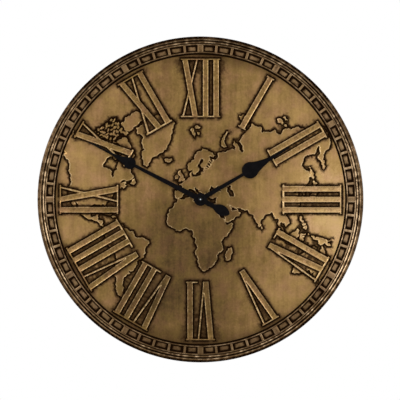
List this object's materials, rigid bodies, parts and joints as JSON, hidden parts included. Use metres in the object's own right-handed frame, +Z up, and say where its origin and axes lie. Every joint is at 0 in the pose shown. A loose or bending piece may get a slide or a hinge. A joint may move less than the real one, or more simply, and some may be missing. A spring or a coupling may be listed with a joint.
{
  "type": "wall clock",
  "caption": "Round wall clock with an embossed brass dial of the world map, Roman numerals and black spade hands, driven by a quartz movement behind the dial.",
  "frame": {"origin": "on the wall plane behind the clock, on the axis of the hands", "axes": "+Y points into the wall, so the dial faces -Y; +X to the right and +Z up as seen from the front"},
  "size_m": [0.6, 0.0429, 0.6],
  "materials": {
    "dial_brass": "embossed, antique patina in the recesses",
    "hand_paint": "satin black",
    "rim_steel": "dark brown lacquer",
    "bright_steel": "plain",
    "bush_brass": "turned",
    "case_plastic": "moulded",
    "gear_plastic": "moulded",
    "pad_rubber": "matt",
    "coil_wire": "enamelled copper wire",
    "board": "solder mask",
    "magnet": "sintered",
    "cell_jacket": "plain shrink sleeve"
  },
  "bodies": {
    "clock_body": {"dial_sheet": "dial_brass", "rim_hoop": "rim_steel", "hanger_plate": "rim_steel", "hanger_rivet_left": "bright_steel", "hanger_rivet_right": "bright_steel", "wall_pad_upper_right": "pad_rubber", "wall_pad_upper_left": "pad_rubber", "wall_pad_lower_left": "pad_rubber", "wall_pad_lower_right": "pad_rubber", "movement_front_case": "case_plastic", "movement_rear_cover": "case_plastic", "movement_middle_plate": "gear_plastic", "centre_bush": "bush_brass", "dial_gasket": "pad_rubber", "dial_washer": "bush_brass", "dial_nut": "bush_brass", "stator": "bright_steel", "coil_core": "bright_steel", "coil_bobbin": "gear_plastic", "coil_winding": "coil_wire", "circuit_board": "board", "quartz_crystal": "bright_steel", "clock_chip": "case_plastic", "contact_plus": "bright_steel", "contact_minus": "bright_steel"},
    "minute": {"minute_hand": "hand_paint", "hand_cap_nut": "hand_paint", "minute_arbor": "bright_steel"},
    "hour": {"hour_hand": "hand_paint", "hour_collet": "bush_brass", "hour_wheel": "gear_plastic"},
    "minute_reduction": {"minute_wheel": "gear_plastic"},
    "setting": {"setting_knob": "gear_plastic"},
    "centre": {"centre_wheel": "gear_plastic"},
    "third": {"third_wheel": "gear_plastic"},
    "seconds": {"seconds_wheel": "gear_plastic"},
    "fifth": {"fifth_wheel": "gear_plastic"},
    "rotor": {"rotor_pinion": "gear_plastic", "rotor_magnet": "magnet"},
    "cell": {"battery": "cell_jacket"}
  },
  "joints": [
    {"name": "minute_turn", "type": "hinge", "parent": "clock_body", "child": "minute", "pos_m": [0, -0.0295, 0], "axis": [0, 1, 0], "continuous": true},
    {"name": "hour_turn", "type": "hinge", "parent": "clock_body", "child": "hour", "pos_m": [0, -0.0295, 0], "axis": [0, 1, 0], "continuous": true},
    {"name": "minute_wheel_turn", "type": "hinge", "parent": "clock_body", "child": "minute_reduction", "pos_m": [-0.00831, -0.0223, 0.0048], "axis": [0, 1, 0], "continuous": true},
    {"name": "setting_turn", "type": "hinge", "parent": "clock_body", "child": "setting", "pos_m": [-0.01663, -0.0138, 0.0096], "axis": [0, 1, 0], "continuous": true},
    {"name": "centre_wheel_turn", "type": "hinge", "parent": "clock_body", "child": "centre", "pos_m": [0, -0.0184, 0], "axis": [0, 1, 0], "continuous": true},
    {"name": "third_wheel_turn", "type": "hinge", "parent": "clock_body", "child": "third", "pos_m": [0.00323, -0.0151, 0.00888], "axis": [0, 1, 0], "continuous": true},
    {"name": "seconds_wheel_turn", "type": "hinge", "parent": "clock_body", "child": "seconds", "pos_m": [0, -0.0163, 0], "axis": [0, 1, 0], "continuous": true},
    {"name": "fifth_wheel_turn", "type": "hinge", "parent": "clock_body", "child": "fifth", "pos_m": [0.0098, -0.0151, 0.00086], "axis": [0, 1, 0], "continuous": true},
    {"name": "rotor_turn", "type": "hinge", "parent": "clock_body", "child": "rotor", "pos_m": [0.0133, -0.0151, -0.0052], "axis": [0, 1, 0], "continuous": true},
    {"name": "battery_out", "type": "slide", "parent": "clock_body", "child": "cell", "axis": [0, 1, 0], "range_m": [0, 0.025]}
  ],
  "couplings": [
    {"joint": "hour_turn", "follows": "minute_turn", "ratio": 0.083333},
    {"joint": "minute_wheel_turn", "follows": "minute_turn", "ratio": -0.33333},
    {"joint": "setting_turn", "follows": "minute_turn", "ratio": 1},
    {"joint": "rotor_turn", "follows": "fifth_wheel_turn", "ratio": -6},
    {"joint": "seconds_wheel_turn", "follows": "fifth_wheel_turn", "ratio": -0.2},
    {"joint": "third_wheel_turn", "follows": "fifth_wheel_turn", "ratio": 0.026667},
    {"joint": "centre_wheel_turn", "follows": "fifth_wheel_turn", "ratio": -0.0033333}
  ]
}
